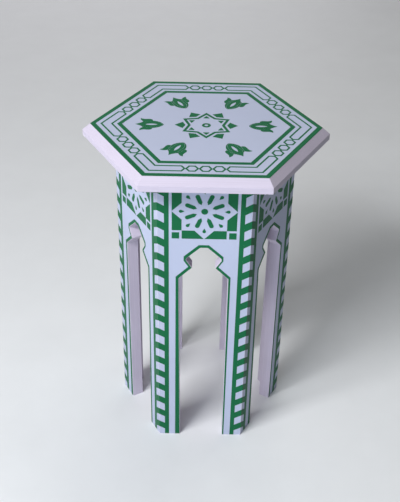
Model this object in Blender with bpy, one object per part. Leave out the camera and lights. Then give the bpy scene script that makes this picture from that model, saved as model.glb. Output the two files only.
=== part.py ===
"""Hexagonal side table: a slope-edged top on six arched boards that are mitred into legs.

Run it with  blender --background --python part.py  or from Blender's text editor.
Lengths are in metres and +Z is up. The origin is on the floor, under the middle of the top.
Board 1 is the front one and faces -Y. The others follow anticlockwise, seen from above.
"""

import math

import bmesh
import bpy
from mathutils import Matrix, Vector

MM = 0.001

# Overall sizes
SIDES = 6
TABLE_HEIGHT = 500 * MM
TOP_SIDE = 175 * MM  # one side of the top's hexagon, and its corner radius
TOP_THICKNESS = 19 * MM
TOP_SLOPE_RUN = 10 * MM  # how far the sloping edge reaches in over the top
TOP_SLOPE_DROP = 9.6 * MM  # how far it falls
BASE_SIDE = 130 * MM  # one outer side of the base's hexagon
BOARD = 18 * MM  # thickness of the arched boards

# Arch, from the top of its board downwards. Widths are across the whole opening.
APEX_DROP = 112.7 * MM  # top of the board to the flat apex
LOBE_DROP = 18.4 * MM  # apex to the top of the side lobes
LOBE_SIDE = 3.1 * MM  # upright stretch of a lobe
CUSP_DROP = 13 * MM  # lobes to the pointed cusps
SHOULDER_DROP = 18.8 * MM  # cusps to the shoulders, where the legs begin
APEX_WIDTH = 10.2 * MM
LOBE_WIDTH = 49.2 * MM
CUSP_WIDTH = 32.6 * MM
OPENING_WIDTH = 70 * MM
ROUTER_RADIUS = 3 * MM  # the cutter leaves this round in every inner corner
ROUTER_STEPS = 3  # facets in one such round
ROUND_SHARE = 0.45  # a round uses up at most this much of an edge

# Splines in the mitres
SPLINE_THICKNESS = 4 * MM
SPLINE_WIDTH = 12 * MM
SPLINE_SHIFT = 1.6 * MM  # how far it sits from mid mitre, towards the inside
SPLINE_STOP = 20 * MM  # the groove ends this far above the floor

# Cleats under the top
CLEAT = 20 * MM  # square section
CLEAT_SETBACK = 8 * MM  # from its end to where neighbouring cleats would meet

# Countersunk screws
SCREW_SHANK = 3.5 * MM
SCREW_HEAD = 7 * MM
SCREW_SINK = 0.5 * MM  # head below the wood
SCREW_COVER = 8 * MM  # wood left in front of the point
SCREW_INSET = 11 * MM  # from the cleat's end to the screw beside it
SCREW_POINT = 4 * MM  # length of the pointed end
SCREW_TIP = 0.6 * MM  # width of the blunted tip
SCREW_FACETS = 12
SMOOTH_BELOW = math.radians(40)  # shading is smooth across lesser edges
RECESS_RIM = 1.4 * MM  # head left around the cross recess
RECESS_WIDTH = 1 * MM
RECESS_DEPTH = 1.6 * MM

# Clearance between pieces that touch
FIT_GAP = 0.3 * MM

# Worked out from the sizes above
TURN = 2 * math.pi / SIDES
HALF_TURN = TURN / 2
FRONT = -math.pi / 2  # direction that board 1 faces
BOARD_TOP = TABLE_HEIGHT - TOP_THICKNESS - FIT_GAP
BASE_APOTHEM = BASE_SIDE / 2 / math.tan(HALF_TURN)
BASE_RADIUS = BASE_SIDE / 2 / math.sin(HALF_TURN)
TOP_RADIUS = TOP_SIDE / 2 / math.sin(HALF_TURN)
CLEAT_BACK = BASE_APOTHEM - BOARD - FIT_GAP  # face against the board, from the middle
CLEAT_FRONT = CLEAT_BACK - CLEAT
CLEAT_HALF = CLEAT_FRONT * math.tan(HALF_TURN) - CLEAT_SETBACK
CLEAT_MIDDLE = BOARD_TOP - CLEAT / 2
PANEL_SCREW_LENGTH = CLEAT + FIT_GAP + BOARD - SCREW_COVER - SCREW_SINK
TOP_SCREW_LENGTH = CLEAT + FIT_GAP + TOP_THICKNESS - SCREW_COVER - SCREW_SINK
OVERCUT = 1 * MM  # cutters reach this far out of the surface that they enter


def clear_scene():
    for old in list(bpy.data.objects):
        bpy.data.objects.remove(old, do_unlink=True)


def make_material(name, colour, roughness, metallic=0.0):
    material = bpy.data.materials.new(name)
    material.use_nodes = True
    shader = material.node_tree.nodes["Principled BSDF"]
    shader.inputs["Base Color"].default_value = (*colour, 1)
    shader.inputs["Roughness"].default_value = roughness
    shader.inputs["Metallic"].default_value = metallic
    return material


def add_object(name, mesh, parent=None):
    made = bpy.data.objects.new(name, mesh)
    bpy.context.scene.collection.objects.link(made)
    made.parent = parent
    return made


def to_mesh(name, shape, material=None):
    """Turns a bmesh into a mesh with its faces pointing outwards."""
    bmesh.ops.recalc_face_normals(shape, faces=shape.faces)
    mesh = bpy.data.meshes.new(name)
    shape.to_mesh(mesh)
    shape.free()
    if material:
        mesh.materials.append(material)
    return mesh


def box(low, high):
    """A bmesh block between two opposite corners."""
    shape = bmesh.new()
    bmesh.ops.create_cube(shape, size=1)
    size = Vector(high) - Vector(low)
    middle = (Vector(high) + Vector(low)) / 2
    bmesh.ops.scale(shape, vec=size, verts=shape.verts)
    bmesh.ops.translate(shape, vec=middle, verts=shape.verts)
    return shape


def lofted(outlines):
    """A bmesh solid through closed outlines with as many points each, from one end face to the other."""
    shape = bmesh.new()
    rings = [[shape.verts.new(point) for point in outline] for outline in outlines]
    for near, far in zip(rings, rings[1:]):
        for i in range(len(near)):
            shape.faces.new((near[i - 1], near[i], far[i], far[i - 1]))
    shape.faces.new(rings[0])
    shape.faces.new(rings[-1])
    return shape


def turned(profile, facets, start=0.0):
    """A bmesh solid of regular polygons: profile lists (corner radius, height) from one end to the other."""
    angles = [start + 2 * math.pi * i / facets for i in range(facets)]
    outlines = [[(r * math.cos(a), r * math.sin(a), z) for a in angles] for r, z in profile]
    return lofted(outlines)


def carved(name, shape, cutters, material):
    """The mesh of a bmesh with every (bmesh, matrix) cutter taken out of it. The helpers are removed."""
    body = add_object(name, to_mesh(name, shape, material))
    helpers = []
    for number, (cutter, matrix) in enumerate(cutters, 1):
        helper = add_object(f"{name}_cutter_{number}", to_mesh(f"{name}_cutter", cutter))
        helper.matrix_world = matrix
        helper.hide_render = True
        helper.display_type = "WIRE"
        cut = body.modifiers.new(helper.name, "BOOLEAN")
        cut.operation = "DIFFERENCE"
        cut.solver = "EXACT"
        cut.object = helper
        helpers.append(helper)
    bpy.context.view_layer.update()
    mesh = bpy.data.meshes.new_from_object(body.evaluated_get(bpy.context.evaluated_depsgraph_get()))
    mesh.name = name
    for helper in [body, *helpers]:
        bpy.data.objects.remove(helper, do_unlink=True)
    return mesh


def rounded(before, corner, after):
    """The points of an arc of the router's radius in one corner, limited by the edges that meet there."""
    back = before - corner
    ahead = after - corner
    half_angle = back.angle(ahead) / 2
    room = min(back.length, ahead.length) * ROUND_SHARE
    run = min(ROUTER_RADIUS / math.tan(half_angle), room)
    radius = run * math.tan(half_angle)
    middle = corner + (back.normalized() + ahead.normalized()).normalized() * (run / math.cos(half_angle))
    first = corner + back.normalized() * run - middle
    last = corner + ahead.normalized() * run - middle
    sweep = first.angle_signed(last)
    angles = [-sweep * i / ROUTER_STEPS for i in range(ROUTER_STEPS + 1)]
    return [middle + Matrix.Rotation(a, 2) @ first.normalized() * radius for a in angles]


def arch_outline():
    """(x, z) points of the arch from the foot of its right leg, over the apex, to the foot of its left leg."""
    apex = BOARD_TOP - APEX_DROP
    lobe_top = apex - LOBE_DROP
    lobe_foot = lobe_top - LOBE_SIDE
    cusp = lobe_foot - CUSP_DROP
    shoulder = cusp - SHOULDER_DROP
    half = [
        (OPENING_WIDTH / 2, 0, False),
        (OPENING_WIDTH / 2, shoulder, True),
        (CUSP_WIDTH / 2, cusp, False),
        (LOBE_WIDTH / 2, lobe_foot, True),
        (LOBE_WIDTH / 2, lobe_top, True),
        (APEX_WIDTH / 2, apex, True),
    ]
    corners = half + [(-x, z, is_round) for x, z, is_round in reversed(half)]
    places = [Vector((x, z)) for x, z, _ in corners]
    outline = []
    for i, (_, _, is_round) in enumerate(corners):
        if is_round:
            outline += rounded(places[i - 1], places[i], places[i + 1])
        else:
            outline.append(places[i])
    return outline


def board_shape():
    """Board 1 before its grooves and holes: an arched outline, carried inwards and mitred at both sides."""
    outer_half = BASE_SIDE / 2 - FIT_GAP / 2 / math.cos(HALF_TURN)
    inner_half = outer_half - BOARD * math.tan(HALF_TURN)
    outlines = []
    for half, depth in ((outer_half, -BASE_APOTHEM), (inner_half, BOARD - BASE_APOTHEM)):
        edge = [(half, 0), (half, BOARD_TOP), (-half, BOARD_TOP), (-half, 0)]
        edge += reversed(arch_outline())
        outlines.append([(x, depth, z) for x, z in edge])
    return lofted(outlines)


def spline_shape(gap=0.0):
    """A spline in the corner that points to +X, grown on every side by gap for its groove."""
    middle = BASE_RADIUS - BOARD / math.cos(HALF_TURN) / 2 - SPLINE_SHIFT
    low = (middle - SPLINE_THICKNESS / 2 - gap, -SPLINE_WIDTH / 2 - gap, SPLINE_STOP - gap)
    high = (middle + SPLINE_THICKNESS / 2 + gap, SPLINE_WIDTH / 2 + gap, BOARD_TOP + gap)
    return box(low, high)


def screw_profile(length, gap=0.0, mouth=0.0):
    """(radius, height) of a countersunk screw with its head at height 0, or with gap and mouth of its hole."""
    shank = SCREW_SHANK / 2 + gap
    head = SCREW_HEAD / 2 + gap
    cone = (SCREW_HEAD - SCREW_SHANK) / 2
    profile = [(head, -mouth)] if mouth else []
    profile += [(head, 0), (shank, cone)]
    profile += [(shank, length - SCREW_POINT), (SCREW_TIP / 2 + gap, length + gap)]
    return profile


def screw_hole(length):
    return turned(screw_profile(length, FIT_GAP, SCREW_SINK + OVERCUT), SCREW_FACETS)


def panel_screw_places():
    """Where the two screws of board 1 sit: heads in the cleat, points towards -Y."""
    level = Matrix.Rotation(math.pi / 2, 4, "X")
    across = CLEAT_HALF - SCREW_INSET
    return [
        (side, Matrix.Translation((x, -CLEAT_FRONT - SCREW_SINK, CLEAT_MIDDLE)) @ level)
        for side, x in (("left", -across), ("right", across))
    ]


def top_screw_place():
    """Where the upright screw of board 1's cleat sits, pointing up."""
    return Matrix.Translation((0, -(CLEAT_FRONT + CLEAT_BACK) / 2, BOARD_TOP - CLEAT + SCREW_SINK))


def around(step):
    return Matrix.Rotation(step * TURN, 4, "Z")


def make_tabletop(material):
    corner_run = TOP_SLOPE_RUN / math.cos(HALF_TURN)
    profile = [
        (TOP_RADIUS, TABLE_HEIGHT - TOP_THICKNESS),
        (TOP_RADIUS, TABLE_HEIGHT - TOP_SLOPE_DROP),
        (TOP_RADIUS - corner_run, TABLE_HEIGHT),
    ]
    shape = turned(profile, SIDES, FRONT + HALF_TURN)
    holes = [(screw_hole(TOP_SCREW_LENGTH), around(i) @ top_screw_place()) for i in range(SIDES)]
    return carved("tabletop", shape, holes, material)


def make_side_panel(material):
    cutters = [(screw_hole(PANEL_SCREW_LENGTH), place) for _, place in panel_screw_places()]
    for corner in (FRONT - HALF_TURN, FRONT + HALF_TURN):
        cutters.append((spline_shape(FIT_GAP), Matrix.Rotation(corner, 4, "Z")))
    return carved("side_panel", board_shape(), cutters, material)


def make_cleat(material):
    low = (-CLEAT_HALF, -CLEAT_BACK, BOARD_TOP - CLEAT)
    high = (CLEAT_HALF, -CLEAT_FRONT, BOARD_TOP)
    cutters = [(screw_hole(PANEL_SCREW_LENGTH), place) for _, place in panel_screw_places()]
    cutters.append((screw_hole(TOP_SCREW_LENGTH), top_screw_place()))
    return carved("top_cleat", box(low, high), cutters, material)


def make_screw(name, length, material):
    span = SCREW_HEAD / 2 - RECESS_RIM
    slot = RECESS_WIDTH / 2
    arms = [
        (box((-span, -slot, -OVERCUT), (span, slot, RECESS_DEPTH)), Matrix.Identity(4)),
        (box((-slot, -span, -OVERCUT), (slot, span, RECESS_DEPTH)), Matrix.Identity(4)),
    ]
    mesh = carved(name, turned(screw_profile(length), SCREW_FACETS), arms, material)
    mesh.shade_smooth()
    mesh.set_sharp_from_angle(angle=SMOOTH_BELOW)
    return mesh


def main():
    clear_scene()
    top_paint = make_material("top_paint", (0.60, 0.58, 0.75), 0.38)
    side_paint = make_material("side_paint", (0.49, 0.54, 0.74), 0.38)
    plywood = make_material("plywood", (0.62, 0.45, 0.27), 0.6)
    pine = make_material("pine", (0.70, 0.51, 0.30), 0.6)
    zinc = make_material("zinc", (0.62, 0.62, 0.60), 0.35, 1.0)

    table = add_object("side_table", None)
    add_object("tabletop", make_tabletop(top_paint), table)
    panel = make_side_panel(side_paint)
    spline = to_mesh("mitre_spline", spline_shape(), plywood)
    cleat = make_cleat(pine)
    panel_screw = make_screw("panel_screw", PANEL_SCREW_LENGTH, zinc)
    top_screw = make_screw("top_screw", TOP_SCREW_LENGTH, zinc)

    for i in range(SIDES):
        number = i + 1
        turn = around(i)
        add_object(f"side_panel_{number}", panel, table).matrix_world = turn
        add_object(f"top_cleat_{number}", cleat, table).matrix_world = turn
        corner = Matrix.Rotation(FRONT + HALF_TURN, 4, "Z")
        add_object(f"mitre_spline_{number}", spline, table).matrix_world = turn @ corner
        for side, place in panel_screw_places():
            add_object(f"panel_screw_{number}_{side}", panel_screw, table).matrix_world = turn @ place
        add_object(f"top_screw_{number}", top_screw, table).matrix_world = turn @ top_screw_place()


main()
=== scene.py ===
"""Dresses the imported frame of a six-sided painted side table.

The file is laid out as a Blender add-on and is run as a script. Scene lengths are metres, and the tables
of outline points below are millimetres. Board 1 faces -Y, and the others follow anticlockwise.
"""

import math

import bpy
import numpy as np
from bpy.props import FloatProperty, FloatVectorProperty, PointerProperty
from mathutils import Matrix, Vector


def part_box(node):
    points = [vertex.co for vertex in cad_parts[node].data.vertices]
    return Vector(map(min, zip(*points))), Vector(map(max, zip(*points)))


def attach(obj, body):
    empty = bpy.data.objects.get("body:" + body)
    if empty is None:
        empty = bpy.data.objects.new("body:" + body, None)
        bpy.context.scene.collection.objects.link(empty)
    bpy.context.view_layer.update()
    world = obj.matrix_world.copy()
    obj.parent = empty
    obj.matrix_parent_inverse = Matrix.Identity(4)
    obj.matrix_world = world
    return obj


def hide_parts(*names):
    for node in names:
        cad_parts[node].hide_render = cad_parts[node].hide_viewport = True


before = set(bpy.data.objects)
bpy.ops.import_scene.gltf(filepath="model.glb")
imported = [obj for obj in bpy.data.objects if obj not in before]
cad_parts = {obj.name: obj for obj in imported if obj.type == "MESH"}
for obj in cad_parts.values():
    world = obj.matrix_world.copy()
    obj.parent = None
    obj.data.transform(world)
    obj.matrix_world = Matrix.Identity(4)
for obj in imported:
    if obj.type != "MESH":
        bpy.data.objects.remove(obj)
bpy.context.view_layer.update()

bl_info = {
    "name": "Six-sided painted side table",
    "version": (1, 0, 0),
    "blender": (4, 5, 0),
    "location": "3D View > Sidebar > Side table",
    "description": "Painted boards, stencilled borders and star panels around the packed table",
    "category": "Add Mesh",
}

MM = 0.001
SIDES = 6
BOARDS = range(1, SIDES + 1)
TURN = 2 * math.pi / SIDES
HALF_TURN = TURN / 2

TOP_LOW, TOP_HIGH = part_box("tabletop")
BOARD_LOW, BOARD_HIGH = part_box("side_panel_1")

EASE_STEPS = 4  # facets in an eased edge
ROUND_STEPS = 6  # facets in a rounded corner of an outline
CURVE_STEPS = 24  # samples in each stretch of a smooth curve
ROUND_SHARE = 0.48  # a round uses up at most this much of an edge
CRISP = 0.00005  # round of a corner that looks sharp
SUNK = 0.00008  # how far a paint film reaches below the board's face
HAIR = 0.000001  # places closer than this are the same

# Soft boxes: azimuth and elevation in degrees, distance, width and height in metres, and colour.
LIGHT_AIM = Vector((0, 0, 0.22))
SOFT_BOXES = [
    ("key", 227, 46, 2.5, 1.05, 0.6, (0.983, 0.995, 1.0)),
    ("front_low", 250, 14, 2.5, 1.05, 0.66, (0.79, 0.9, 1.0)),
    ("back_low", 100, 12, 2.9, 2.37, 1.19, (0.985, 0.96, 1.0)),
    ("back_high", 60, 60, 2.9, 1.85, 1.85, (0.99, 1.0, 0.95)),
]

# Camera: lens and sensor in millimetres, place in metres, and turns in degrees.
LENS, SENSOR_WIDTH = 65.924, 36.0
CAMERA_PLACE = (-0.0045, -1.1583, 1.1016)
PAN, TILT, ROLL = -0.055, 35.2357, 1.0868
FLOOR_HALF = 12.0  # half the side of the studio floor, in metres

# The line round an arch has a width of its own along each kind of edge, from the foot up.
ARCH_LINES = ("leg_line", "shoulder_line", "cusp_line", "lobe_line", "head_line")

# Half of one tulip, in millimetres: distance from the middle of the top, then from the tulip's own axis.
LEAF_EDGE = [
    (61.7, 0), (63.1, 2.5), (65.9, 4.7), (70, 6.1), (75, 6.6), (80, 6.7),
    (85, 6.5), (89, 6.0), (92.3, 4.7), (95.3, 2.5), (98.1, 1.0), (100.2, 0),
]
LEAF_EYE = [(68.2, 0), (70.4, 1.0), (73.4, 1.9), (77, 2.3), (80.8, 1.9), (84.0, 1.0), (86.3, 0)]
CUP_OUTER = [(59.9, 0), (61.3, 2.7), (63.9, 5.7), (67.4, 8.2), (71.3, 10.0), (75.2, 10.8)]
CUP_UPPER = [(75.2, 10.8), (79.5, 9.9), (84, 9.2), (87.4, 8.7), (89.2, 8.4)]
CUP_INNER = [
    (61.3, 0), (62.8, 2.7), (65.8, 5.0), (70, 6.4), (75, 6.9),
    (80, 7.0), (85, 6.8), (88.6, 6.4), (91.2, 5.5),
]
FLARE_OUTER = [
    (75.6, 11.1), (75.9, 12.6), (76.8, 14.7), (79, 15.9),
    (82, 16.2), (86, 15.8), (89.4, 16.2), (93.2, 18.3),
]
FLARE_TOP = [(89.3, 8.8), (91.0, 10.6), (92.4, 12.6), (93.3, 15.2), (93.2, 18.3)]
FLARE_INNER = [(75.6, 11.1), (79.5, 10.2), (84, 9.5), (87.4, 9.0), (89.3, 8.8)]

# Star panel, in millimetres from its middle.
SIDE_NEAR, SIDE_WAIST, SIDE_TIP, SIDE_END = 31.2, 13.5, 0.5, 31.0  # the pieces along its edges
SQUARE_NEAR = 34.4  # the squares in its corners
PETAL_TIP, PETAL_NECK, PETAL_NECK_HALF = 11.3, 15.4, 2.9
PETAL_END, PETAL_ROUND = 25.5, 3.15
DROP_TIP, DROP_END, DROP_ROUND = 27.3, 32.6, 2.5
DROP_SWEEP = 2.06  # radians of a drop's round on each side of its axis
DISC_ROUND = 4.65

# Star and chain of the top, in millimetres: the star from its middle, a link from its own.
STAR_VALLEY, STAR_POINT, STAR_LINE = 23.9, 35.4, 3.8
KITE = [(29.4, 0), (33.4, 9.3), (44.6, 0), (33.4, -9.3)]
WEDGE = [(21.3, 0), (21.3, 5.0), (28.6, 0), (21.3, -5.0), (21.3, 0)]
WEDGE_ROUNDS = [0.7, 0.5, 0.7]
RING_OUT, RING_IN = 6.3, 2.6
LINK_FLAT, LINK_TIP = 3.8, 7.75

GREY = (0.5, 0.5, 0.5, 1)
# The paler eased edges are rubbed wear and a painted highlight.
LILAC = {"specular": 0.15, "wear_and_highlight": 0.35}
STROKES_ALONG_X = ((9, 700, 700), 0.05)
UPRIGHT_STROKES = ((700, 700, 9), 0.05)
PLY_SCALE, PINE_SCALE = 236.0, 105.0  # how close the layers and the rings of the woods lie
GRAIN_SCALE = 0.12  # the woods' pattern along the grain, against across it
PITH_STEP, PITH_ASIDE, PITH_DOWN = 0.2, 0.105, -0.42  # where the pine's rings are centred, in metres
LATE_ONSET, LATE_SHARE = 2.2, 0.75  # how late in a ring the dark wood sets in, and how dark it gets
RUBBED_POLISH = 0.12  # how much less rough a rubbed edge is
WOOD_RELIEF, ZINC_RELIEF = 0.00006, 0.00002  # depth of the bump, in metres


def length(name, default, description):
    """A length property in metres, shown in the scene's units."""
    return FloatProperty(
        name=name, description=description, default=default, min=0.0, unit="LENGTH", precision=5
    )


def colour(name, default, description):
    """A colour property, in linear light."""
    return FloatVectorProperty(
        name=name, description=description, default=default, size=3, min=0.0, max=1.0, subtype="COLOR"
    )


def share(name, default, description):
    """A plain number from 0 to 1."""
    return FloatProperty(name=name, description=description, default=default, min=0.0, max=1.0)


def power(name, default, description):
    """A light's power in watts."""
    return FloatProperty(name=name, description=description, default=default, min=0.0, unit="POWER")


class SIDETABLE_PG_sizes(bpy.types.PropertyGroup):
    """Sizes of the boards"""

    height: length("Height", TOP_HIGH.z, "Floor to the top's upper face")
    top_corner: length("Top corner", TOP_HIGH.x, "Middle of the top to one of its corners")
    top_thickness: length("Top thickness", TOP_HIGH.z - TOP_LOW.z, "Thickness of the top board")
    slope_run: length("Slope run", 10 * MM, "How far the sloping edge reaches in over the top")
    slope_drop: length("Slope drop", 9.6 * MM, "How far the sloping edge falls")
    base_apothem: length("Base half width", -BOARD_LOW.y, "Middle of the base to a board's outer face")
    board: length("Board", BOARD_HIGH.y - BOARD_LOW.y, "Thickness of the arched boards")
    board_top: length("Board top", BOARD_HIGH.z, "Floor to the top edge of the arched boards")
    top_arris: length("Top arris", 0.8 * MM, "Radius that eases the top board's edges")
    arris: length("Board arris", 0.55 * MM, "Radius that eases the edges of the arches and feet")
    corner: length("Leg corner", 0.7 * MM, "Radius that eases the outer corner of a leg")


class SIDETABLE_PG_arch(bpy.types.PropertyGroup):
    """Sizes of the arch in each board, with widths as half widths"""

    shoulder_half: length("Shoulder half width", 35 * MM, "Half the opening between two legs")
    shoulder_height: length("Shoulder height", 314.7 * MM, "Floor to where the legs end")
    cusp_half: length("Cusp half width", 16.3 * MM, "Half the opening between the cusps")
    cusp_height: length("Cusp height", 333.5 * MM, "Floor to the cusps")
    lobe_half: length("Lobe half width", 24.6 * MM, "Half the opening across the lobes")
    lobe_foot: length("Lobe foot", 346.5 * MM, "Floor to the foot of the lobes")
    lobe_top: length("Lobe top", 349.6 * MM, "Floor to the top of the lobes")
    apex_half: length("Apex half width", 5.1 * MM, "Half the flat apex")
    apex_height: length("Apex height", 368 * MM, "Floor to the apex")
    foot_flare: length("Foot flare", 2.3 * MM, "How much wider a board's left leg is at its foot")
    router: length("Router radius", 3 * MM, "Round that the cutter leaves in an inner corner")
    cusp_round: length("Cusp round", 0.6 * MM, "Round on the pointed cusps")


class SIDETABLE_PG_pattern(bpy.types.PropertyGroup):
    """Sizes of the stencilled pattern"""

    film: length("Film", 0.14 * MM, "Thickness of the green paint film")
    leg_line: length("Leg line", 3.5 * MM, "Width of the line round each arch, along the legs")
    shoulder_line: length("Shoulder line", 4.3 * MM, "Width of that line over the shoulders")
    cusp_line: length("Cusp line", 2.6 * MM, "Width of that line between the cusps and the lobes")
    lobe_line: length("Lobe line", 2.75 * MM, "Width of that line at the tips of the lobes")
    head_line: length("Head line", 4.3 * MM, "Width of that line from the lobes over the apex")
    line_round: length("Line round", 0.8 * MM, "Round in the corners of the line's outer edge")
    band_inner: length("Leg band inner", 48.8 * MM, "Middle of a board to the near edge of its leg bands")
    band_outer: length("Leg band outer", 55.35 * MM, "Middle of a board to the far edge of its leg bands")
    stripe_first: length("First stripe", 22.7 * MM, "Floor to the first stripe, on the leg's corner")
    stripe_pitch: length("Stripe pitch", 27.52 * MM, "Height from one stripe to the next")
    stripe_height: length("Stripe height", 12.6 * MM, "Upright height of a stripe")
    front_lean: length("Front lean", 1.25 * MM, "How far left the front board's stencil is at the floor")
    star_height: length("Star height", 428.1 * MM, "Floor to the middle of the star panel")
    star_half: length("Star half width", 44.7 * MM, "Half the side of the star panel")
    outer_band_in: length("Outer band near edge", 135.0 * MM, "Middle of the top to the outer band")
    inner_band_out: length("Inner band far edge", 108.85 * MM, "Middle of the top to the inner band")
    inner_band_in: length("Inner band near edge", 102.75 * MM, "Middle of the top to the band's inner edge")
    chain_middle: length("Chain middle", 121.55 * MM, "Middle of the top to the chain")
    chain_half: length("Chain half height", 6.45 * MM, "Half the height of the chain's links")
    chain_pitch: length("Chain pitch", 17.74 * MM, "Length of the side that one link takes up")
    chain_line: length("Chain line", 2.5 * MM, "Width of the chain's lines")


class SIDETABLE_PG_finish(bpy.types.PropertyGroup):
    """Colours and gloss of the finishes"""

    ground: colour("Ground", (0.450, 0.487, 0.637), "Blue lilac under the pattern")
    paint: colour("Paint", (0.570, 0.516, 0.626), "Pink lilac of the edges and the inside")
    green: colour("Green", (0.008, 0.125, 0.048), "Green of the pattern")
    pine: colour("Pine", (0.66, 0.47, 0.27), "Early wood of the pine cleats")
    pine_dark: colour("Pine, dark", (0.42, 0.22, 0.09), "Late wood of the pine cleats")
    plywood: colour("Plywood", (0.60, 0.44, 0.27), "Pale plies of the splines")
    plywood_dark: colour("Plywood, dark", (0.44, 0.29, 0.16), "Dark plies of the splines")
    zinc: colour("Zinc", (0.62, 0.62, 0.60), "Plating of the screws")
    floor: colour("Floor", (0.78, 0.79, 0.81), "Studio floor")
    satin: share("Satin roughness", 0.42, "Roughness of the lilac paint")
    green_satin: share("Green roughness", 0.4, "Roughness of the green paint")


class SIDETABLE_PG_stage(bpy.types.PropertyGroup):
    """The studio's lights"""

    key: power("Key", 60.0, "Wide soft box in front, to the left")
    front_low: power("Front low", 21.5, "Low soft box in front")
    back_low: power("Back low", 13.2, "Low soft panel behind")
    back_high: power("Back high", 19.5, "High soft panel behind, to the right")
    sky: share("Surround", 0.02, "Brightness of the pale surround")


class SIDETABLE_PG_table(bpy.types.PropertyGroup):
    """Everything that can be changed on the table"""

    sizes: PointerProperty(type=SIDETABLE_PG_sizes)
    arch: PointerProperty(type=SIDETABLE_PG_arch)
    pattern: PointerProperty(type=SIDETABLE_PG_pattern)
    finish: PointerProperty(type=SIDETABLE_PG_finish)
    stage: PointerProperty(type=SIDETABLE_PG_stage)


# Outlines


def smooth(points, count):
    """An even run of count points on the smooth curve through the given points.

    Each stretch is a cubic whose slope at a point is half the step between that point's neighbours. The
    curve is sampled finely and then read again at equal steps of its length.
    """
    points = np.asarray(points, float)
    ends = np.concatenate([[2 * points[0] - points[1]], points, [2 * points[-1] - points[-2]]])
    before, here, there, after = (ends[i : len(ends) - 3 + i, None] for i in range(4))
    t = np.linspace(0, 1, CURVE_STEPS, endpoint=False)[None, :, None]
    fine = 0.5 * (
        2 * here
        + (there - before) * t
        + (2 * before - 5 * here + 4 * there - after) * t**2
        + (3 * here - before - 3 * there + after) * t**3
    )
    fine = np.concatenate([fine.reshape(-1, 2), points[-1:]])
    run = np.concatenate([[0], np.cumsum(np.linalg.norm(np.diff(fine, axis=0), axis=1))])
    even = np.linspace(0, run[-1], count)
    return np.stack([np.interp(even, run, fine[:, 0]), np.interp(even, run, fine[:, 1])], axis=1)


def rounded(path, radii, steps=ROUND_STEPS):
    """An open path with an arc in each inner corner: its two ends stay as they are.

    An arc touches both edges of its corner. It is the weighted blend of the touching points and the corner
    with weights (1-t)^2, 2t(1-t)cos(half the turn) and t^2, divided by their sum, which is a true circle.
    """
    path = np.asarray(path, float)
    corner = path[1:-1]
    back = path[:-2] - corner
    ahead = path[2:] - corner
    back_run = np.linalg.norm(back, axis=1, keepdims=True)
    ahead_run = np.linalg.norm(ahead, axis=1, keepdims=True)
    back, ahead = back / back_run, ahead / ahead_run
    half_turn = (math.pi - np.arccos(np.clip((back * ahead).sum(1, keepdims=True), -1, 1))) / 2
    room = np.minimum(back_run, ahead_run) * ROUND_SHARE
    reach = np.minimum(np.reshape(radii, (-1, 1)) * np.tan(half_turn), room)
    first = (corner + back * reach)[:, None]
    last = (corner + ahead * reach)[:, None]
    t = np.linspace(0, 1, steps + 1)[None, :, None]
    weight = 2 * t * (1 - t) * np.cos(half_turn)[:, None]
    total = (1 - t) ** 2 + weight + t**2
    arcs = ((1 - t) ** 2 * first + weight * corner[:, None] + t**2 * last) / total
    return np.concatenate([path[:1], arcs.reshape(-1, 2), path[-1:]])


def outward(outlines):
    """The step that moves each point of an anticlockwise outline one unit out, square to both its edges.

    With the unit normals a and b of the two edges it is 2(a + b) / |a + b|^2, which keeps corners mitred.
    """
    ahead = np.roll(outlines, -1, axis=-2) - outlines
    ahead = ahead / np.linalg.norm(ahead, axis=-1, keepdims=True)
    both = (ahead + np.roll(ahead, 1, axis=-2))[..., ::-1] * (1, -1)
    return 2 * both / (both**2).sum(-1, keepdims=True)


def anticlockwise(outlines):
    """Closed outlines, each turned round if its signed area is below zero."""
    ahead = np.roll(outlines, -1, axis=-2)
    area = (outlines[..., 0] * ahead[..., 1] - ahead[..., 0] * outlines[..., 1]).sum(-1)
    return np.where((area < 0)[..., None, None], outlines[..., ::-1, :], outlines)


def copies_around(outlines, angles):
    """Plan outlines (m, n, 2) turned about the origin by each angle, as (angles x m, n, 2)."""
    outlines = np.asarray(outlines, float)
    angles = np.reshape(angles, (-1, 1, 1))
    x, y = outlines[..., 0], outlines[..., 1]
    turned = [np.cos(angles) * x - np.sin(angles) * y, np.sin(angles) * x + np.cos(angles) * y]
    return np.stack(turned, -1).reshape(-1, *outlines.shape[-2:])


def with_mirror(outlines):
    """Outlines and their mirror images across the first axis."""
    outlines = np.asarray(outlines, float)
    return np.concatenate([outlines, outlines * (1, -1)])


def steps_round(count, start=0.0):
    """Equal angles round a full turn."""
    return start + np.arange(count) * 2 * math.pi / count


def polar(radii, angles):
    """Points at their distances from the origin and their angles."""
    return np.stack([radii * np.cos(angles), radii * np.sin(angles)], -1)


def arc(middle, radius, sweep, count):
    """An arc about a middle on the first axis, which sweeps as far on each side of that axis."""
    return polar(radius, np.linspace(-sweep, sweep, count)) + (middle, 0)


# Shells: an array of points with a list of face arrays


def grid_faces(rows, columns, round_rows=False):
    """Quads of a grid of points that closes along its columns, and along its rows where asked."""
    last = rows if round_rows else rows - 1
    row, column = np.meshgrid(np.arange(last), np.arange(columns), indexing="ij")
    start, next_start = row * columns, (row + 1) % rows * columns
    ahead = (column + 1) % columns
    corners = [start + column, start + ahead, next_start + ahead, next_start + column]
    return np.stack(corners, -1).reshape(-1, 4)


def repeated(faces, copies, size):
    """The faces of one shell, repeated for copies that hold size points each."""
    return (faces[None] + (np.arange(copies) * size)[:, None, None]).reshape(-1, faces.shape[1])


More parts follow.
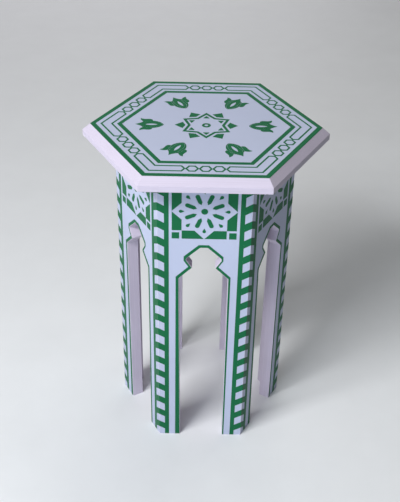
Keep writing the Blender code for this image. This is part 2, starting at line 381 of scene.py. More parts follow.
def prism(rings, ladder=False):
    """A closed shell through rings of points (copies, rows, count, 3), from its inner end to its outer end.

    The end faces are one polygon each, or with ladder a row of quads between the two halves of the ring.
    """
    copies, rows, count = rings.shape[:3]
    if ladder:
        low = np.arange(count // 2 - 1)
        cap = np.stack([low, low + 1, count - 2 - low, count - 1 - low], 1)
    else:
        cap = np.arange(count)[None]
    parts = [grid_faces(rows, count), cap[:, ::-1], cap + (rows - 1) * count]
    faces = [repeated(part, copies, rows * count) for part in parts]
    return rings.reshape(-1, 3), faces


def film(outlines, skin, lift, ladder=False):
    """A thin paint film inside each closed outline, from just below a skin to lift above it."""
    outlines = anticlockwise(np.asarray(outlines, float))[:, None]
    levels = np.array([-SUNK, lift])[None, :, None]
    return prism(skin(outlines[..., 0], outlines[..., 1], levels), ladder)


def strip(first, second, skin, lift):
    """A paint film between two open curves with as many points each, in copies (m, n, 2)."""
    return film(np.concatenate([first, second[:, ::-1]], axis=1), skin, lift, ladder=True)


def band(loops, skin, lift):
    """A paint film between nested closed outlines (copies, loops, n, 2), from the outermost inwards.

    A thin section is carried round: over all the outlines from outside to inside, and back below the skin.
    """
    levels = np.repeat([lift, -SUNK], loops.shape[1])[None, :, None]
    loops = np.concatenate([loops, loops[:, ::-1]], axis=1)
    points = skin(loops[..., 0], loops[..., 1], levels)
    copies, rows, count = points.shape[:3]
    faces = repeated(grid_faces(rows, count, round_rows=True), copies, rows * count)
    return points.reshape(-1, 3), [faces]


def line(centres, width, skin, lift):
    """A paint film of one width that follows closed centre lines."""
    centres = anticlockwise(np.asarray(centres, float))
    step = outward(centres) * width / 2
    return band(np.stack([centres + step, centres - step], axis=1), skin, lift)


def joined(*shells):
    """Several shells as one."""
    sizes = np.cumsum([0] + [len(points) for points, _ in shells])
    faces = [part + start for (_, parts), start in zip(shells, sizes) for part in parts]
    return np.concatenate([points for points, _ in shells]), faces


def spun(points, number):
    """Points (..., 3) of board 1, turned about the upright axis to another board's place."""
    x, y, z = np.moveaxis(points, -1, 0)
    angle = (number - 1) * TURN
    c, s = math.cos(angle), math.sin(angle)
    return np.stack([c * x - s * y, s * x + c * y, z], -1)


def top_flat(sizes):
    """Half width of the top's flat face, and the length of the eased arris that goes on from it.

    The arris is an arc between the flat and the slope. It touches each at its radius times the tangent of
    half the slope's angle away from the corner.
    """
    angle = math.atan2(sizes.slope_drop, sizes.slope_run)
    corner = sizes.top_corner * math.cos(HALF_TURN) - sizes.slope_run
    return corner - sizes.top_arris * math.tan(angle / 2), sizes.top_arris * angle


def top_skin(sizes):
    """Maps plan points and a lift to the top's upper face, and past its flat onto the eased arris.

    A point's distance is measured square to the nearest side. Past the flat it becomes an angle on an arc of
    the arris' radius.
    """
    flat = top_flat(sizes)[0]
    radius = sizes.top_arris
    sides = steps_round(SIDES, HALF_TURN)

    def place(x, y, lift):
        reach = np.max([x * math.cos(side) + y * math.sin(side) for side in sides], axis=0)
        bend = np.maximum(reach - flat, 0) / radius
        pull = (np.minimum(reach, flat) + (radius + lift) * np.sin(bend)) / np.maximum(reach, radius)
        pull = np.where(bend > 0, pull, 1.0)
        height = sizes.height - radius + (radius + lift) * np.cos(bend)
        return np.stack(np.broadcast_arrays(x * pull, y * pull, height), -1)

    return place


def board_skin(sizes, number):
    """Maps (across, height) and a lift to a board's outer face, and round its eased outer corners.

    Past the flat, the distance across becomes an angle on an arc of the corner's radius, up to half the
    turn from one board to the next.
    """
    radius = sizes.corner
    flat = sizes.base_apothem * math.tan(HALF_TURN) - radius * math.tan(HALF_TURN)

    def place(across, height, lift):
        bend = np.clip((np.abs(across) - flat) / radius, 0, HALF_TURN)
        side = np.sign(across) * (np.minimum(np.abs(across), flat) + (radius + lift) * np.sin(bend))
        out = sizes.base_apothem - radius + (radius + lift) * np.cos(bend)
        points = np.stack(np.broadcast_arrays(side, -out, height + 0 * lift), -1)
        return spun(points, number)

    return place


# Pieces


def add_object(name, data):
    """Puts a mesh, a light or a camera into the scene as an object."""
    thing = bpy.data.objects.new(name, data)
    bpy.context.scene.collection.objects.link(thing)
    return thing


def add_piece(name, shell, materials, replaced=(), zones=None, edges=None):
    """Puts a shell into a mesh object that rides on the table, with its materials.

    Zones give each face its material, and edges mark the eased faces, which get rubbed wear and a painted
    highlight.
    """
    points, parts = shell
    faces = [face for part in parts for face in part.tolist()]
    mesh = bpy.data.meshes.new(name)
    mesh.from_pydata(points.tolist(), [], faces)
    for material in materials:
        mesh.materials.append(material)
    if zones is not None:
        mesh.polygons.foreach_set("material_index", np.asarray(zones, np.int32))
    if edges is not None:
        marks = mesh.attributes.new("edge", "FLOAT", "FACE")
        marks.data.foreach_set("value", np.asarray(edges, np.float32))
    if mesh.validate():
        raise RuntimeError(f"{name} held faulty faces")
    mesh.update()
    piece = add_object(name, mesh)
    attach(piece, "root")
    if replaced:
        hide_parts(*replaced)


def add_board(name, shell, finishes, node):
    """Puts a painted board in place of its node, with one finish on its decorated face and one elsewhere.

    The decorated face is the shell's last one. The faces of an eased edge come in runs, with one flat face
    between two runs, and are marked for the paler edge: rubbed wear and a painted highlight.
    """
    around, *ends = shell[1]
    count = sum(len(part) for part in shell[1])
    row = np.arange(len(around)) // ends[0].shape[1]
    eased = row % (EASE_STEPS + 1) < EASE_STEPS
    edges = np.concatenate([eased, np.zeros(count - len(around))])
    zones = np.arange(count) < count - 1
    add_piece(name, shell, finishes, [node], zones, edges)


def add_films(name, table, *shells):
    """Puts green paint films into one piece."""
    add_piece(name, joined(*shells), [green_finish(table.finish)])


def arch_path(arch, insets, inner_round, flare=0.0):
    """(across, height) points of the arch, from the left foot over the apex to the right foot.

    The path can run inside the board: each edge moves in by its own inset, and a corner is where its two
    moved edges cross. The insets are those of the leg, shoulder, cusp, lobe and head, or one for all. The
    round of a cusp shrinks by the leg's inset until only a crisp corner is left. Flare moves the left foot
    in towards the opening.
    """
    right = [
        (arch.apex_half, arch.apex_height),
        (arch.lobe_half, arch.lobe_top),
        (arch.lobe_half, arch.lobe_foot),
        (arch.cusp_half, arch.cusp_height),
        (arch.shoulder_half, arch.shoulder_height),
        (arch.shoulder_half, 0.0),
    ]
    left = [(-across, height) for across, height in reversed(right)]
    corners = np.array(left + right)
    corners[0, 0] += flare
    insets = np.broadcast_to(insets, len(ARCH_LINES))
    leg, head = insets[0], insets[-1]
    insets = np.concatenate([insets, [head], insets[::-1]])
    ahead = np.diff(corners, axis=0)
    normal = ahead[:, ::-1] * (1, -1) / np.linalg.norm(ahead, axis=1, keepdims=True)
    sides = np.stack([normal[:-1], normal[1:]], axis=1)
    reach = sides @ corners[1:-1, :, None] - np.stack([insets[:-1], insets[1:]], axis=1)[..., None]
    crossings = np.linalg.solve(sides, reach)[..., 0]
    ends = corners[[0, -1]] - normal[[0, -1]] * leg
    radii = [inner_round, max(arch.cusp_round - leg, CRISP), *[inner_round] * 3]
    return rounded(np.concatenate([ends[:1], crossings, ends[1:]]), radii + radii[::-1])


def board_shell(sizes, arch, number):
    """A board: its edge profile carried round its outline, mitred at both sides.

    Round the arch, feet and top, the profile is a quarter circle at the outer and the inner face. At a mitre
    it is an arc through half the turn to the next board, and then the slope of the mitre itself.
    """
    half = sizes.base_apothem * math.tan(HALF_TURN)
    path = arch_path(arch, 0.0, arch.router, arch.foot_flare)
    far_side = [(half, 0), (half, sizes.board_top), (-half, sizes.board_top)]
    outline = np.concatenate([[(-half, 0)], path, far_side])
    step = outward(outline)
    at_mitre = np.abs(outline[:, 0]) > half - HAIR
    quarter = np.linspace(0, math.pi / 2, EASE_STEPS + 1)
    bend = np.linspace(0, HALF_TURN, EASE_STEPS + 1)
    eased_in, eased_deep = sizes.arris * (1 - np.sin(quarter)), sizes.arris * (1 - np.cos(quarter))
    slope = math.tan(HALF_TURN)
    far = sizes.board - eased_deep[::-1]
    inset = np.concatenate([eased_in, eased_in[::-1]])[:, None]
    deep = np.concatenate([eased_deep, far])[:, None]
    mitre_in = np.concatenate([sizes.corner * (slope - np.sin(bend)), far * slope])[:, None]
    mitre_deep = np.concatenate([sizes.corner * (1 - np.cos(bend)), far])[:, None]
    across = outline[:, 0] - inset * step[:, 0]
    across = np.where(at_mitre, np.sign(outline[:, 0]) * (half - mitre_in), across)
    height = outline[:, 1] - inset * step[:, 1]
    depth = np.where(at_mitre, mitre_deep, deep)
    rings = np.stack([across, depth - sizes.base_apothem, height], -1)[::-1]
    return prism(spun(rings, number)[None])


def top_shell(sizes):
    """The top board: an eased edge profile carried round a hexagon whose corners are eased as well."""
    apothem = sizes.top_corner * math.cos(HALF_TURN)
    low = sizes.height - sizes.top_thickness
    slope_foot = (apothem, sizes.height - sizes.slope_drop)
    slope_head = (apothem - sizes.slope_run, sizes.height)
    profile = [(0, low), (apothem, low), slope_foot, slope_head, (0, sizes.height)]
    radius = sizes.top_arris
    edge = rounded(profile, [radius] * 3, EASE_STEPS)[1:-1]
    corner = (edge[:, :1, None] - radius) / math.cos(HALF_TURN)
    toward = steps_round(SIDES)[None, :, None]
    spread = toward + np.linspace(-HALF_TURN, HALF_TURN, EASE_STEPS + 1)
    x, y = np.moveaxis(polar(corner, toward) + polar(radius, spread), -1, 0)
    z = np.broadcast_to(edge[:, 1:, None], x.shape)
    return prism(np.stack([x, y, z], -1).reshape(1, len(edge), -1, 3))


def leaned(points, table, number):
    """Stencil points (across, height) of a board. On the front one they move left towards the floor."""
    lean = table.pattern.front_lean if number == 1 else 0.0
    shift = lean * (1 - points[..., 1] / table.sizes.board_top)
    return np.stack([points[..., 0] - shift, points[..., 1]], -1)


def hexagons(apothems):
    """Hexagons with a corner on the first axis, as (n, 6, 2)."""
    return polar(np.reshape(apothems, (-1, 1)) / math.cos(HALF_TURN), steps_round(SIDES))


# Materials


def feed(tree, sockets, values):
    """Gives each named input its plain value, or a link where the value is another node's output."""
    for name, value in values.items():
        if isinstance(value, bpy.types.NodeSocket):
            tree.links.new(value, sockets[name])
        else:
            sockets[name].default_value = value


def add_node(tree, kind, values=None, **settings):
    """A shader node with its settings, and with values for its inputs by name or place."""
    node = tree.nodes.new("ShaderNode" + kind)
    for name, value in settings.items():
        setattr(node, name, value)
    feed(tree, node.inputs, values or {})
    return node


def new_group(name, inputs, outputs):
    """An empty shader group: its tree, the sockets that it is given and the sockets that it puts out.

    Inputs are (name, kind, default), and outputs are (name, kind).
    """
    tree = bpy.data.node_groups.new(name, "ShaderNodeTree")
    for socket, kind, default in inputs:
        made = tree.interface.new_socket(socket, in_out="INPUT", socket_type="NodeSocket" + kind)
        made.default_value = default
    for socket, kind in outputs:
        tree.interface.new_socket(socket, in_out="OUTPUT", socket_type="NodeSocket" + kind)
    return tree, tree.nodes.new("NodeGroupInput").outputs, tree.nodes.new("NodeGroupOutput").inputs


def place_group(tree, maker, values):
    """Places a shader group in a tree with its values, and gives its outputs. Its maker fills it once."""
    name = maker.__name__
    if name not in bpy.data.node_groups:
        maker(name)
    return add_node(tree, "Group", values, node_tree=bpy.data.node_groups[name]).outputs


def object_place(tree):
    """Where a point lies in its object's own coordinates."""
    return add_node(tree, "TexCoord").outputs["Object"]


def noise(tree, place, scale, detail, roughness):
    """The value of a noise texture."""
    values = {"Vector": place, "Scale": scale, "Detail": detail, "Roughness": roughness}
    return add_node(tree, "TexNoise", values).outputs[0]


def spread_of(tree, value, low, high):
    """A noise value, mostly between 0.3 and 0.7, spread from low to high, which may be sockets."""
    values = {"Value": value, "From Min": 0.3, "From Max": 0.7, "To Min": low, "To Max": high}
    return add_node(tree, "MapRange", values).outputs["Result"]


def math_node(tree, operation, first, second):
    """What a Math node makes of two sockets or numbers."""
    return add_node(tree, "Math", {0: first, 1: second}, operation=operation).outputs[0]


def rolled_paint(name):
    """Rolled or brushed paint: slow drifts of tone and gloss, brush marks, and a fine stipple for the bump.

    The brush marks are noise that changes fast across the strokes and slowly along them.
    """
    tree, given, out = new_group(
        name,
        [
            ("Colour", "Color", GREY),
            ("Drift", "Float", 0.03),
            ("Roughness", "Float", 0.36),
            ("Stipple scale", "Float", 700.0),
            ("Brush scale", "Vector", (1, 1, 1)),
            ("Brush tone", "Float", 0.0),
        ],
        [("Colour", "Color"), ("Roughness", "Float"), ("Height", "Float")],
    )
    place = object_place(tree)
    across = add_node(tree, "VectorMath", {0: place, 1: given["Brush scale"]}, operation="MULTIPLY")
    slow = noise(tree, place, scale=9.0, detail=4.0, roughness=0.6)
    fine = noise(tree, place, scale=given["Stipple scale"], detail=3.0, roughness=0.55)
    strokes = noise(tree, across.outputs[0], scale=1.0, detail=3.0, roughness=0.6)
    less = math_node(tree, "SUBTRACT", 1.0, given["Drift"])
    more = math_node(tree, "ADD", 1.0, given["Drift"])
    dark = math_node(tree, "MULTIPLY", given["Brush tone"], -1.0)
    drift = spread_of(tree, slow, less, more)
    marks = spread_of(tree, strokes, dark, given["Brush tone"])
    value = math_node(tree, "ADD", drift, marks)
    tone = add_node(tree, "HueSaturation", {"Color": given["Colour"], "Value": value})
    rough = math_node(tree, "ADD", given["Roughness"], spread_of(tree, slow, low=-0.04, high=0.04))
    rough = math_node(tree, "ADD", rough, spread_of(tree, fine, low=-0.03, high=0.03))
    feed(tree, out, {"Colour": tone.outputs["Color"], "Roughness": rough, "Height": fine})


def rubbed_edge(name):
    """Paler, glossier patches on the marked eased faces: rubbed wear, and a painted highlight along the
    arris.
    """
    tree, given, out = new_group(
        name,
        [("Colour", "Color", GREY), ("Roughness", "Float", 0.36), ("Wear", "Float", 0.5)],
        [("Colour", "Color"), ("Roughness", "Float")],
    )
    mark = add_node(tree, "Attribute", attribute_name="edge")
    patches = noise(tree, object_place(tree), scale=45.0, detail=5.0, roughness=0.65)
    rub_and_highlight = math_node(tree, "MULTIPLY", mark.outputs["Fac"], given["Wear"])
    rub_and_highlight = math_node(tree, "MULTIPLY", rub_and_highlight, spread_of(tree, patches, low=0.0, high=1.0))
    # Lighter and less saturated on the eased faces: rubbed wear and a painted highlight.
    values = {"Color": given["Colour"], "Fac": rub_and_highlight, "Saturation": 0.7, "Value": 1.25}
    pale = add_node(tree, "HueSaturation", values)
    polish = math_node(tree, "MULTIPLY", rub_and_highlight, RUBBED_POLISH)
    rough = math_node(tree, "SUBTRACT", given["Roughness"], polish)
    feed(tree, out, {"Colour": pale.outputs["Color"], "Roughness": rough})


def planed_wood(name):
    """Planed wood along X: a saw wave of the distance from the pith, and stretched noise for fibres."""
    tree, given, out = new_group(
        name,
        [
            ("Place", "Vector", (0, 0, 0)),
            ("Early wood", "Color", (0.7, 0.5, 0.3, 1)),
            ("Late wood", "Color", (0.4, 0.2, 0.1, 1)),
            ("Ring scale", "Float", 100.0),
        ],
        [("Colour", "Color"), ("Roughness", "Float"), ("Height", "Float")],
    )
    values = {"Vector": given["Place"], "Scale": given["Ring scale"]}
    values.update({"Distortion": 1.6, "Detail": 2.0, "Detail Scale": 0.6})
    rings = add_node(
        tree, "TexWave", values, wave_type="RINGS", rings_direction="X", wave_profile="SAW"
    )
    fibres = noise(tree, given["Place"], scale=900.0, detail=4.0, roughness=0.6)
    late = math_node(tree, "POWER", rings.outputs["Fac"], LATE_ONSET)
    late = math_node(tree, "MULTIPLY", late, LATE_SHARE)
    late = math_node(tree, "ADD", late, spread_of(tree, fibres, low=-0.12, high=0.2))
    woods = {"Factor": late, "A": given["Early wood"], "B": given["Late wood"]}
    tone = add_node(tree, "Mix", woods, data_type="RGBA").outputs["Result"]
    rough = spread_of(tree, fibres, low=0.52, high=0.7)
    feed(tree, out, {"Colour": tone, "Roughness": rough, "Height": fibres})


def new_finish(name):
    """A material, its tree and its shader, or the material alone if it is there already."""
    if name in bpy.data.materials:
        return bpy.data.materials[name], None, None
    material = bpy.data.materials.new(name)
    material.use_nodes = True
    return material, material.node_tree, material.node_tree.nodes["Principled BSDF"]


def surface(tree, shader, shade, roughness, height, depth):
    """Feeds a shader its colour and roughness, and a normal from a height that spans depth metres."""
    bump = add_node(tree, "Bump", {"Strength": 1.0, "Distance": depth, "Height": height})
    values = {"Base Color": shade, "Roughness": roughness, "Normal": bump.outputs["Normal"]}
    feed(tree, shader.inputs, values)


def painted(name, shade, roughness, drift, stipple, specular=0.5, wear_and_highlight=0.0, brush=((1, 1, 1), 0.0)):
    """A painted finish with its own values, paler at the eased edges: rubbed wear and a painted highlight.

    Stipple is (scale, depth in metres), and brush is (scale along each axis, tone).
    """
    material, tree, shader = new_finish(name)
    if tree is None:
        return material
    shader.inputs["Specular IOR Level"].default_value = specular
    values = {
        "Colour": (*shade, 1),
        "Drift": drift,
        "Roughness": roughness,
        "Stipple scale": stipple[0],
        "Brush scale": brush[0],
        "Brush tone": brush[1],
    }
    coat = place_group(tree, rolled_paint, values)
    values = {"Colour": coat["Colour"], "Roughness": coat["Roughness"], "Wear": wear_and_highlight}
    rub_and_highlight = place_group(tree, rubbed_edge, values)
    surface(tree, shader, rub_and_highlight["Colour"], rub_and_highlight["Roughness"], coat["Height"], stipple[1])
    return material


def wooden(name, early, late, ring_scale, turn, pith):
    """Bare wood: turn brings its grain to X, and pith is where the rings' middle lies from there."""
    material, tree, shader = new_finish(name)
    if tree is None:
        return material
    place = add_node(tree, "Mapping", {"Vector": object_place(tree), "Location": pith, "Rotation": turn})
    values = {"Vector": place.outputs["Vector"], "Scale": (GRAIN_SCALE, 1, 1)}
    stretched = add_node(tree, "Mapping", values)
    values = {"Place": stretched.outputs["Vector"], "Ring scale": ring_scale}
    values.update({"Early wood": (*early, 1), "Late wood": (*late, 1)})
    wood = place_group(tree, planed_wood, values)
    surface(tree, shader, wood["Colour"], wood["Roughness"], wood["Height"], WOOD_RELIEF)
    return material


def plated(name, shade):
    """Zinc plating: small crystal patches that differ in tone and gloss."""
    material, tree, shader = new_finish(name)
    if tree is None:
        return material
    shader.inputs["Metallic"].default_value = 1.0
    patches = add_node(tree, "TexVoronoi", {"Vector": object_place(tree), "Scale": 900.0}).outputs
    grey = add_node(tree, "RGBToBW", {"Color": patches["Color"]}).outputs["Val"]
    values = {"Color": (*shade, 1), "Value": spread_of(tree, grey, low=0.86, high=1.06)}
    tone = add_node(tree, "HueSaturation", values).outputs["Color"]
    rough = spread_of(tree, grey, low=0.3, high=0.42)
    surface(tree, shader, tone, rough, patches["Distance"], ZINC_RELIEF)
    return material


def ground_finish(finish):
    """Blue lilac of the decorated faces."""
    stipple = (650.0, 0.000012)
    return painted("lilac_ground", finish.ground, finish.satin, drift=0.025, stipple=stipple, **LILAC)


def paint_finish(finish, name, strokes):
    """Pink lilac of the edges and the inside, with brush strokes."""
    stipple = (520.0, 0.000018)
    return painted(name, finish.paint, finish.satin, drift=0.03, stipple=stipple, brush=strokes, **LILAC)


def green_finish(finish):
    """Green of the pattern."""
    stipple = (800.0, 0.000012)
    return painted("green_film", finish.green, finish.green_satin, drift=0.08, stipple=stipple, specular=0.1)


# Operators


class SIDETABLE_OT_stage(bpy.types.Operator):
    """Adds the floor, the lights and the camera"""

    bl_idname = "side_table.stage"
    bl_label = "Stage"

    def execute(self, context):
        table = context.scene.side_table
        mesh = bpy.data.meshes.new("studio_floor")
        square = [(-1, -1), (1, -1), (1, 1), (-1, 1)]
        mesh.from_pydata([(x * FLOOR_HALF, y * FLOOR_HALF, 0) for x, y in square], [], [(0, 1, 2, 3)])
        values = {"roughness": 0.6, "drift": 0.02, "stipple": (300.0, 0.00002)}
        mesh.materials.append(painted("studio_floor", table.finish.floor, **values))
        floor = add_object("studio_floor", mesh)

        lens = bpy.data.cameras.new("camera")
        lens.lens = LENS
        lens.sensor_width = SENSOR_WIDTH
        camera = add_object("camera", lens)
        pan, tilt, roll = math.radians(PAN), math.radians(TILT), math.radians(ROLL)
        turn = (
            Matrix.Rotation(-pan, 4, "Z")
            @ Matrix.Rotation(math.pi / 2 - tilt, 4, "X")
            @ Matrix.Rotation(roll, 4, "Z")
        )
        camera.matrix_world = Matrix.Translation(CAMERA_PLACE) @ turn
        context.scene.camera = camera

        for name, azimuth, elevation, distance, width, height, tint in SOFT_BOXES:
            lamp = bpy.data.lights.new(name, "AREA")
            lamp.shape = "RECTANGLE"
            lamp.size, lamp.size_y = width, height
            lamp.color = tint
            lamp.energy = getattr(table.stage, name)
            light = add_object(name, lamp)
            azimuth, elevation = math.radians(azimuth), math.radians(elevation)
            level = math.cos(elevation)
            toward = Vector((math.cos(azimuth) * level, math.sin(azimuth) * level, math.sin(elevation)))
            light.location = LIGHT_AIM + toward * distance
            light.rotation_euler = (-toward).to_track_quat("-Z", "Y").to_euler()
        world = bpy.data.worlds.new("surround")
        world.use_nodes = True
        sky = world.node_tree.nodes["Background"]
        sky.inputs["Color"].default_value = (1, 1, 1, 1)
        sky.inputs["Strength"].default_value = table.stage.sky
        context.scene.world = world
        context.scene.view_settings.view_transform = "Standard"
        return {"FINISHED"}


class SIDETABLE_OT_top_board(bpy.types.Operator):
    """Adds the sloped-edge top board"""

    bl_idname = "side_table.top_board"
    bl_label = "Top board"

    def execute(self, context):
        table = context.scene.side_table
        paint = paint_finish(table.finish, "lilac_paint_top", STROKES_ALONG_X)
        finishes = [ground_finish(table.finish), paint]
        add_board("top_board", top_shell(table.sizes), finishes, "tabletop")
        return {"FINISHED"}


class SIDETABLE_OT_side_boards(bpy.types.Operator):
    """Adds the six arched boards"""

    bl_idname = "side_table.side_boards"
    bl_label = "Arched boards"

    def execute(self, context):
        table = context.scene.side_table
        paint = paint_finish(table.finish, "lilac_paint_boards", UPRIGHT_STROKES)
        finishes = [ground_finish(table.finish), paint]
        for number in BOARDS:
            shell = board_shell(table.sizes, table.arch, number)
            add_board(f"side_board_{number}", shell, finishes, f"side_panel_{number}")
        return {"FINISHED"}


class SIDETABLE_OT_leg_stripes(bpy.types.Operator):
    """Adds the upright bands and rope stripes of the legs"""

    bl_idname = "side_table.leg_stripes"
    bl_label = "Leg bands and stripes"

    def execute(self, context):
        table = context.scene.side_table
        sizes, pattern = table.sizes, table.pattern
        half = sizes.base_apothem * math.tan(HALF_TURN)
        flat = half - sizes.corner * math.tan(HALF_TURN)
        rim = flat + sizes.corner * HALF_TURN
        count = int((sizes.board_top - pattern.stripe_first) / pattern.stripe_pitch) + 1
        corner = pattern.stripe_first + pattern.stripe_pitch * np.arange(count)
        round_corner = np.tile(np.linspace(flat, rim, EASE_STEPS + 1), (count, 1))
        foot, head = sizes.arris, sizes.board_top - sizes.arris
        inner, outer = pattern.band_inner, pattern.band_outer
        upright = np.array([[(inner, foot), (inner, head)], [(outer, foot), (outer, head)]])
        for number in BOARDS:
            skin = board_skin(sizes, number)
            shells = []
            for sign in (1, -1):
                near = np.stack([np.full(count, sign * outer), corner], -1)
                near = leaned(near, table, number)[:, :1] * sign
                across = np.concatenate([near, round_corner], axis=1)
                middle = corner[:, None] + (across - half) * math.tan(HALF_TURN)
                low = middle - pattern.stripe_height / 2
                high = np.minimum(middle + pattern.stripe_height / 2, head)
                lower = np.stack([across * sign, low], -1)
                upper = np.stack([across * sign, high], -1)
                shells.append(strip(lower, upper, skin, pattern.film))
                edges = leaned(upright * (sign, 1), table, number)
                shells.append(strip(edges[:1], edges[1:], skin, pattern.film))
            add_films(f"leg_stripes_{number}", table, *shells)
        return {"FINISHED"}


class SIDETABLE_OT_arch_lines(bpy.types.Operator):
    """Adds the green line round each arch"""

    bl_idname = "side_table.arch_lines"
    bl_label = "Arch lines"

    def execute(self, context):
        table = context.scene.side_table
        sizes, arch, pattern = table.sizes, table.arch, table.pattern
        widths = np.array([getattr(pattern, name) for name in ARCH_LINES])
        near = arch_path(arch, sizes.arris, arch.router + sizes.arris, arch.foot_flare)
        far = arch_path(arch, sizes.arris + widths, pattern.line_round)
        near[[0, -1], 1] = far[[0, -1], 1] = sizes.arris
        for number in BOARDS:
            stencil = leaned(far, table, number)
            shell = strip(near[None], stencil[None], board_skin(sizes, number), pattern.film)
            add_films(f"arch_line_{number}", table, shell)
        return {"FINISHED"}


class SIDETABLE_OT_star_panels(bpy.types.Operator):
    """Adds the star panel above each arch"""

    bl_idname = "side_table.star_panels"
    bl_label = "Star panels"

    def execute(self, context):
        table = context.scene.side_table
        sizes, pattern = table.sizes, table.pattern
        edge, near = pattern.star_half / MM, SQUARE_NEAR
        side_piece = [[(SIDE_NEAR, SIDE_WAIST), (edge, SIDE_TIP), (edge, SIDE_END), (SIDE_NEAR, SIDE_END)]]
        square = [[(near, near), (edge, near), (edge, edge), (near, edge)]]
        left_neck, right_neck = (PETAL_NECK, -PETAL_NECK_HALF), (PETAL_NECK, PETAL_NECK_HALF)
        petal_end = arc(PETAL_END, PETAL_ROUND, math.pi / 2, count=9)
        petal = np.concatenate([[(PETAL_TIP, 0), left_neck], petal_end, [right_neck]])
        drop = np.concatenate([[(DROP_TIP, 0)], arc(DROP_END, DROP_ROUND, DROP_SWEEP, count=11)])
        quarters, eighths = steps_round(4), steps_round(8)
        groups = [
            copies_around(with_mirror(side_piece), quarters),
            copies_around(square, quarters),
            copies_around([petal], eighths + eighths[1] / 2),
            copies_around([drop], eighths),
            polar(DISC_ROUND, steps_round(count=32))[None],
        ]
        for number in BOARDS:
            skin = board_skin(sizes, number)
            shells = [
                film(leaned(group * MM + (0, pattern.star_height), table, number), skin, pattern.film)
                for group in groups
            ]
            add_films(f"star_panel_{number}", table, *shells)
        return {"FINISHED"}


class SIDETABLE_OT_top_bands(bpy.types.Operator):
    """Adds the two green bands round the top"""

    bl_idname = "side_table.top_bands"
    bl_label = "Top bands"

    def execute(self, context):
        table = context.scene.side_table
        pattern = table.pattern
        flat, arris = top_flat(table.sizes)
        outer = np.append(flat + arris * np.linspace(1, 0, EASE_STEPS + 1), pattern.outer_band_in)
        inner = [pattern.inner_band_out, pattern.inner_band_in]
        skin = top_skin(table.sizes)
        shells = [band(hexagons(edges)[None], skin, pattern.film) for edges in (outer, inner)]
        add_films("top_bands", table, *shells)
        return {"FINISHED"}


class SIDETABLE_OT_top_chain(bpy.types.Operator):
    """Adds the chain of links and corner bars between the bands"""

    bl_idname = "side_table.top_chain"
    bl_label = "Top chain"

    def execute(self, context):
        table = context.scene.side_table
        pattern = table.pattern
        skin = top_skin(table.sizes)
        middle, half, pitch = pattern.chain_middle, pattern.chain_half, pattern.chain_pitch
        flat, tip = LINK_FLAT * MM, LINK_TIP * MM
        link = np.array([(0, tip), (-half, flat), (-half, -flat), (0, -tip), (half, -flat), (half, flat)])
        places = np.arange(-1, 2)[:, None, None] * np.array([0, pitch])
        links = copies_around(link + places + (middle, 0), steps_round(SIDES, HALF_TURN))
        end = 2 * pitch - tip  # a bar starts where the tip of a fourth link would be
        square = end + tip - flat
        reach = np.tan(HALF_TURN)
        far, near = middle + half, middle - half
        side = [(far, far * reach), (far, square), (middle, end), (near, square), (near, near * reach)]
        first = copies_around([side], [-HALF_TURN])[0]
        second = (first * (1, -1))[1:-1]
        bar = np.concatenate([first, second[::-1]])
        bars = copies_around(bar[None], steps_round(SIDES))
        shells = [line(centres, pattern.chain_line, skin, pattern.film) for centres in (links, bars)]
        add_films("top_chain", table, *shells)
        return {"FINISHED"}


class SIDETABLE_OT_tulips(bpy.types.Operator):
    """Adds the six tulips"""

    bl_idname = "side_table.tulips"
    bl_label = "Tulips"

    def execute(self, context):
        table = context.scene.side_table
        skin = top_skin(table.sizes)
        lift = table.pattern.film

        def both_sides(half):
            """A curve from one side of the tulip's axis to the other, through its base."""
            return np.concatenate([(half * (1, -1))[:0:-1], half])

        def loop(half):
            """A closed outline from a curve that starts and ends on the axis."""
            return np.concatenate([half, (half * (1, -1))[-2:0:-1]])

        def around(outlines):
            return copies_around(np.asarray(outlines) * MM, steps_round(SIDES))

        leaf, eye = (loop(smooth(edge, count=25)) for edge in (LEAF_EDGE, LEAF_EYE))
        cup_half = [smooth(CUP_OUTER, count=13), smooth(CUP_UPPER, count=12)[1:]]
        cup_outer = both_sides(np.concatenate(cup_half))
        cup_inner = both_sides(smooth(CUP_INNER, count=24))
        flare_top, flare_inner = smooth(FLARE_TOP, count=9), smooth(FLARE_INNER, count=8)
        flare = np.concatenate([smooth(FLARE_OUTER, count=16), flare_top[-2::-1], flare_inner[-2:0:-1]])
        add_films(
            "top_tulips",
            table,
            band(np.stack([around([leaf]), around([eye])], axis=1), skin, lift),
            strip(around([cup_outer]), around([cup_inner]), skin, lift),
            film(around(with_mirror([flare])), skin, lift),
        )
        return {"FINISHED"}


class SIDETABLE_OT_top_star(bpy.types.Operator):
    """Adds the star in the middle of the top"""

    bl_idname = "side_table.top_star"
    bl_label = "Top star"

    def execute(self, context):
        table = context.scene.side_table
        skin = top_skin(table.sizes)
        lift = table.pattern.film
        radii = np.where(np.arange(2 * SIDES) % 2, STAR_POINT, STAR_VALLEY)
        star = polar(radii, steps_round(2 * SIDES))[None] * MM
        kite = np.array([KITE]) * MM
        wedge = rounded(WEDGE, WEDGE_ROUNDS)[1:]
        ring = polar(MM, steps_round(count=40))[None]
        add_films(
            "top_star",
            table,
            line(star, STAR_LINE * MM, skin, lift),
            film(copies_around(kite, steps_round(SIDES)), skin, lift),
            film(copies_around(wedge[None] * MM, steps_round(SIDES, HALF_TURN)), skin, lift),
            band(np.stack([ring * RING_OUT, ring * RING_IN], axis=1), skin, lift),
        )
        return {"FINISHED"}


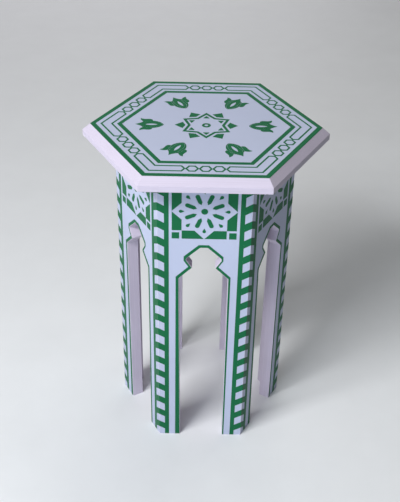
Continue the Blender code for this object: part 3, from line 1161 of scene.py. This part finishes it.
class SIDETABLE_OT_fittings(bpy.types.Operator):
    """Finishes the cleats, splines and screws of the frame"""

    bl_idname = "side_table.fittings"
    bl_label = "Inner fittings"

    def execute(self, context):
        finish = context.scene.side_table.finish
        upright = (0, math.pi / 2, 0)
        plywood = wooden("plywood", finish.plywood, finish.plywood_dark, PLY_SCALE, upright, (0, 0, 0))
        zinc = plated("zinc", finish.zinc)
        for number in BOARDS:
            way = (number - 1) % 3  # opposite cleats run the same way
            turn, pith = (0, 0, -way * TURN), (PITH_STEP * way, PITH_ASIDE, PITH_DOWN)
            pine = wooden(f"pine_{way + 1}", finish.pine, finish.pine_dark, PINE_SCALE, turn, pith)
            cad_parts[f"top_cleat_{number}"].data.materials[0] = pine
        for name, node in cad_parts.items():
            if name.startswith("mitre_spline"):
                node.data.materials[0] = plywood
            elif "screw" in name:
                node.data.materials[0] = zinc
        return {"FINISHED"}


OPERATORS = [
    SIDETABLE_OT_stage,
    SIDETABLE_OT_top_board,
    SIDETABLE_OT_side_boards,
    SIDETABLE_OT_leg_stripes,
    SIDETABLE_OT_arch_lines,
    SIDETABLE_OT_star_panels,
    SIDETABLE_OT_top_bands,
    SIDETABLE_OT_top_chain,
    SIDETABLE_OT_tulips,
    SIDETABLE_OT_top_star,
    SIDETABLE_OT_fittings,
]


class SIDETABLE_PT_sidebar(bpy.types.Panel):
    """Lists the table's pieces and what can be changed on them"""

    bl_label = "Side table"
    bl_idname = "SIDETABLE_PT_sidebar"
    bl_space_type = "VIEW_3D"
    bl_region_type = "UI"
    bl_category = "Side table"

    def draw(self, context):
        table = context.scene.side_table
        for operator in OPERATORS:
            self.layout.operator(operator.bl_idname)
        for name in table.__annotations__:
            group = getattr(table, name)
            box = self.layout.box()
            box.label(text=name.capitalize())
            for field in group.__annotations__:
                box.prop(group, field)


CLASSES = [
    SIDETABLE_PG_sizes,
    SIDETABLE_PG_arch,
    SIDETABLE_PG_pattern,
    SIDETABLE_PG_finish,
    SIDETABLE_PG_stage,
    SIDETABLE_PG_table,
    *OPERATORS,
    SIDETABLE_PT_sidebar,
]


def register():
    for cls in CLASSES:
        bpy.utils.register_class(cls)
    bpy.types.Scene.side_table = PointerProperty(type=SIDETABLE_PG_table)


def unregister():
    del bpy.types.Scene.side_table
    for cls in reversed(CLASSES):
        bpy.utils.unregister_class(cls)


def main():
    register()
    bpy.ops.side_table.stage()
    bpy.ops.side_table.top_board()
    bpy.ops.side_table.side_boards()
    bpy.ops.side_table.leg_stripes()
    bpy.ops.side_table.arch_lines()
    bpy.ops.side_table.star_panels()
    bpy.ops.side_table.top_bands()
    bpy.ops.side_table.top_chain()
    bpy.ops.side_table.tulips()
    bpy.ops.side_table.top_star()
    bpy.ops.side_table.fittings()


if __name__ == "__main__":
    main()
